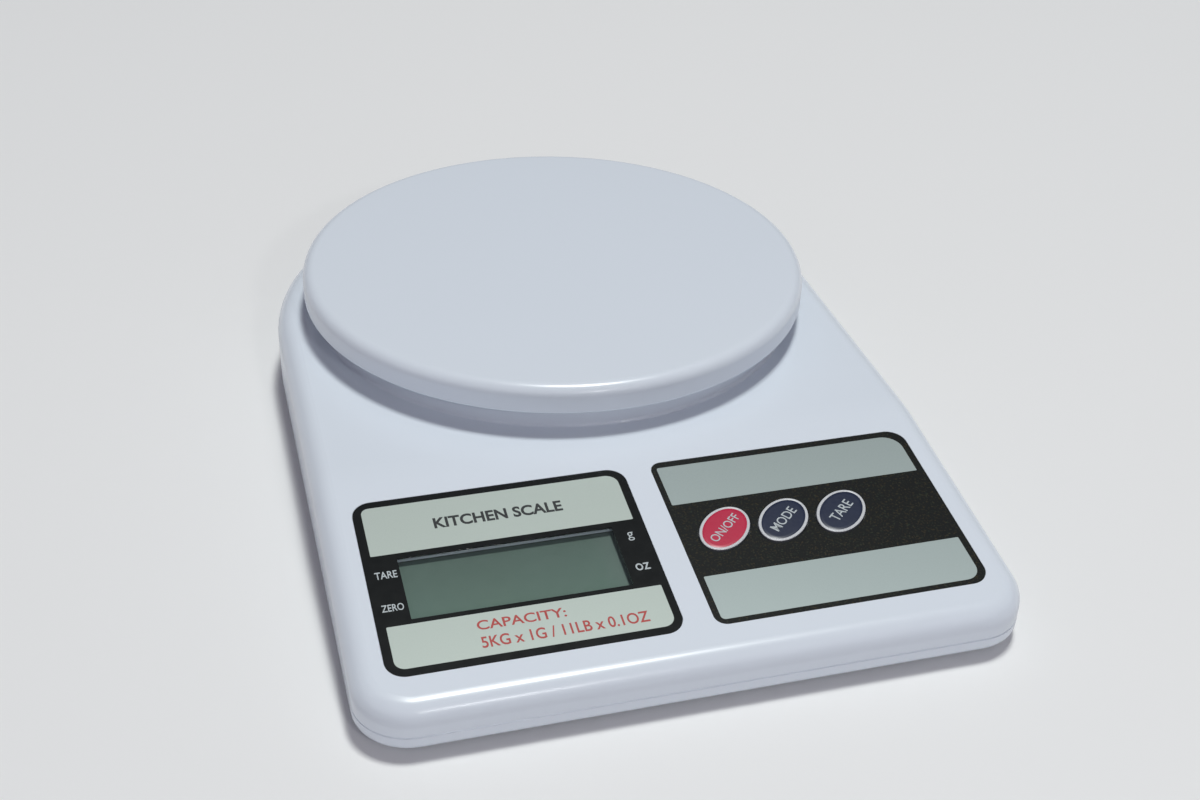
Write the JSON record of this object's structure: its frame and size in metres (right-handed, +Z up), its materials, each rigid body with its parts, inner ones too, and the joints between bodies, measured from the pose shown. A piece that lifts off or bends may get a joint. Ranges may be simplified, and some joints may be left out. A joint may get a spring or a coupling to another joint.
{
  "type": "kitchen scale",
  "caption": "Flat white electronic kitchen scale with a round lift-off platter, a sloping front panel with a display on the left and oval push keys on the right.",
  "frame": {"origin": "on the standing surface, in the middle of the plan", "axes": "+X to the right seen from the front panel, +Y to the back under the platter, +Z up"},
  "size_m": [0.167, 0.2418, 0.0382],
  "materials": {
    "white_plastic": "smooth glossy moulded plastic",
    "printed_film": "glossy printed film",
    "textured_film": "fine textured printed film",
    "clear_plastic": "clear moulded window",
    "display_glass": "grey-green display behind glass",
    "black_plastic": "satin moulded plastic",
    "key_red": "printed gloss",
    "key_navy": "printed gloss",
    "rubber_grey": "soft matt rubber",
    "rubber_pink": "conductive rubber strip",
    "silicone_white": "silicone coating",
    "board_green": "glass-fibre board with solder mask",
    "screw_steel": "zinc plated",
    "spring_steel": "nickel plated",
    "cell_bar": "machined aluminium",
    "battery_can": "plastic sleeve over a steel can",
    "epoxy_black": "epoxy",
    "wire_red": "insulation",
    "wire_black": "insulation",
    "wire_green": "insulation",
    "wire_white": "insulation",
    "plug_white": "moulded nylon"
  },
  "bodies": {
    "case": {"top_case": "white_plastic", "bottom_case": "white_plastic", "display_overlay": "printed_film", "keypad_overlay": "textured_film", "display_window": "clear_plastic", "lcd_glass": "display_glass", "lcd_frame": "black_plastic", "zebra_strip": "rubber_pink", "circuit_board": "board_green", "board_screws": "screw_steel", "chip_blob": "epoxy_black", "capacitor": "black_plastic", "crystal": "spring_steel", "switch_bodies": "black_plastic", "load_cell": "cell_bar", "gauge_coating": "silicone_white", "load_cell_base_plate": "spring_steel", "load_cell_base_screws": "screw_steel", "battery_cell_rear": "battery_can", "battery_cell_front": "battery_can", "battery_plate_contact": "spring_steel", "battery_spring_contact": "spring_steel", "battery_bridge_contact": "spring_steel", "case_screws": "screw_steel", "foot_front_right": "rubber_grey", "foot_rear_right": "rubber_grey", "foot_rear_left": "rubber_grey", "foot_front_left": "rubber_grey", "load_cell_plug": "plug_white", "battery_plug": "plug_white", "load_cell_wire_red": "wire_red", "load_cell_wire_black": "wire_black", "load_cell_wire_green": "wire_green", "load_cell_wire_white": "wire_white", "battery_wire_red": "wire_red", "battery_wire_black": "wire_black"},
    "platform": {"platform_support": "black_plastic", "load_cell_spacer": "spring_steel", "load_cell_top_screws": "screw_steel", "support_pads": "rubber_grey"},
    "platter": {"platter": "white_plastic"},
    "on_off_button": {"on_off_key": "key_red", "on_off_plunger": "black_plastic"},
    "mode_button": {"mode_key": "key_navy", "mode_plunger": "black_plastic"},
    "tare_button": {"tare_key": "key_navy", "tare_plunger": "black_plastic"},
    "battery_door": {"battery_cover": "white_plastic"}
  },
  "joints": [
    {"name": "platform_press", "type": "slide", "parent": "case", "child": "platform", "axis": [0, 0, -1], "range_m": [0, 0.0006], "stiffness_N_per_m": 98000, "deforming": ["load_cell"]},
    {"name": "platter_lift", "type": "slide", "parent": "platform", "child": "platter", "axis": [0, 0, 1], "range_m": [0, 0.03]},
    {"name": "on_off_press", "type": "slide", "parent": "case", "child": "on_off_button", "axis": [0, 0.1214, -0.9926], "range_m": [0, 0.0003], "stiffness_N_per_m": 4000},
    {"name": "mode_press", "type": "slide", "parent": "case", "child": "mode_button", "axis": [0, 0.1214, -0.9926], "range_m": [0, 0.0003], "stiffness_N_per_m": 4000},
    {"name": "tare_press", "type": "slide", "parent": "case", "child": "tare_button", "axis": [0, 0.1214, -0.9926], "range_m": [0, 0.0003], "stiffness_N_per_m": 4000},
    {"name": "battery_cover_hinge", "type": "hinge", "parent": "case", "child": "battery_door", "pos_m": [0, 0.0098, 0.004], "axis": [1, 0, 0], "range_deg": [0, 90]}
  ]
}
